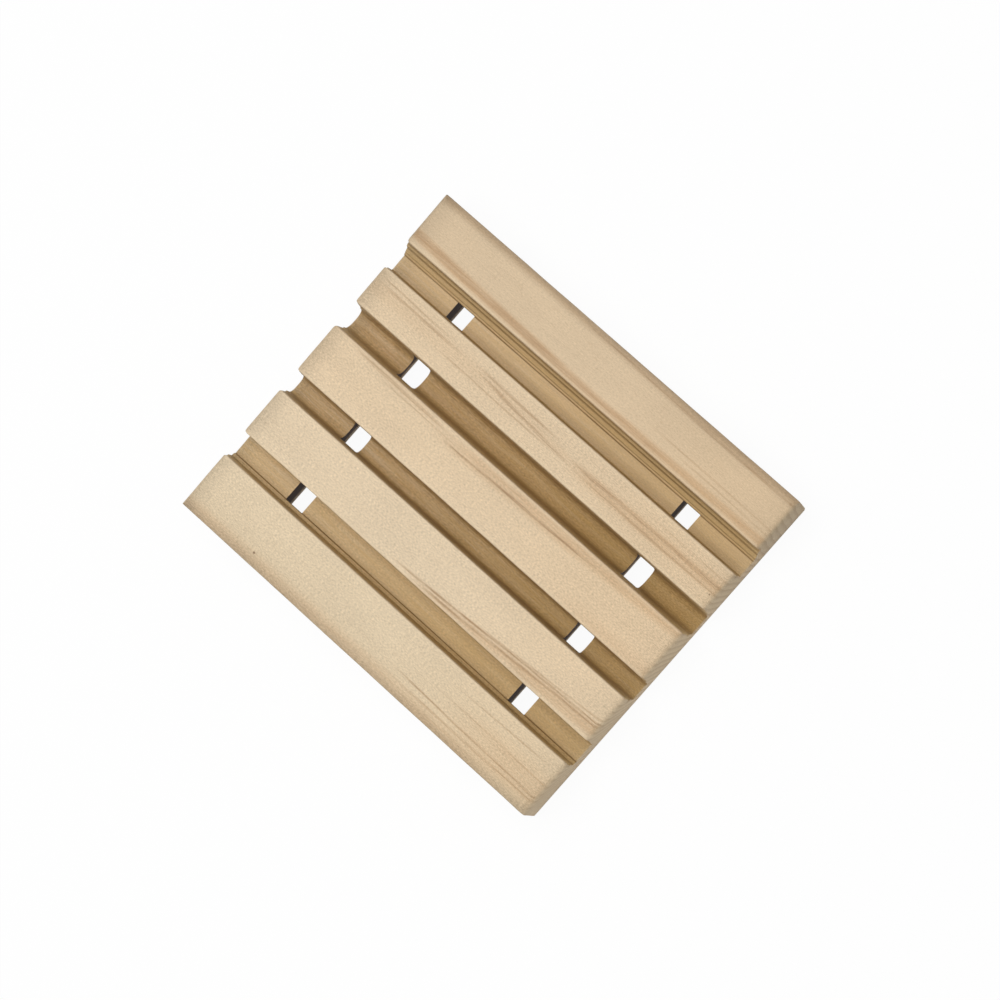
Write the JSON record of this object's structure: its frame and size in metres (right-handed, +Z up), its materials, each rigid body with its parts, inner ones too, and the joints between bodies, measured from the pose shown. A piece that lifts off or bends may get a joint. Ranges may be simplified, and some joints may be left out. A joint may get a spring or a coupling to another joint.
{
  "type": "soap dish",
  "caption": "Rectangular soap dish milled from solid pale softwood, with lengthwise drain grooves on top, cross channels below and small square holes where they meet.",
  "frame": {"origin": "middle of the underside, on the surface that the dish stands on", "axes": "+X along the grooves, +Y across them, +Z up"},
  "size_m": [0.1102, 0.0958, 0.016],
  "materials": {
    "board_wood": "bare sanded pale softwood, matt"
  },
  "bodies": {
    "root": {"dish_board": "board_wood"}
  },
  "joints": []
}
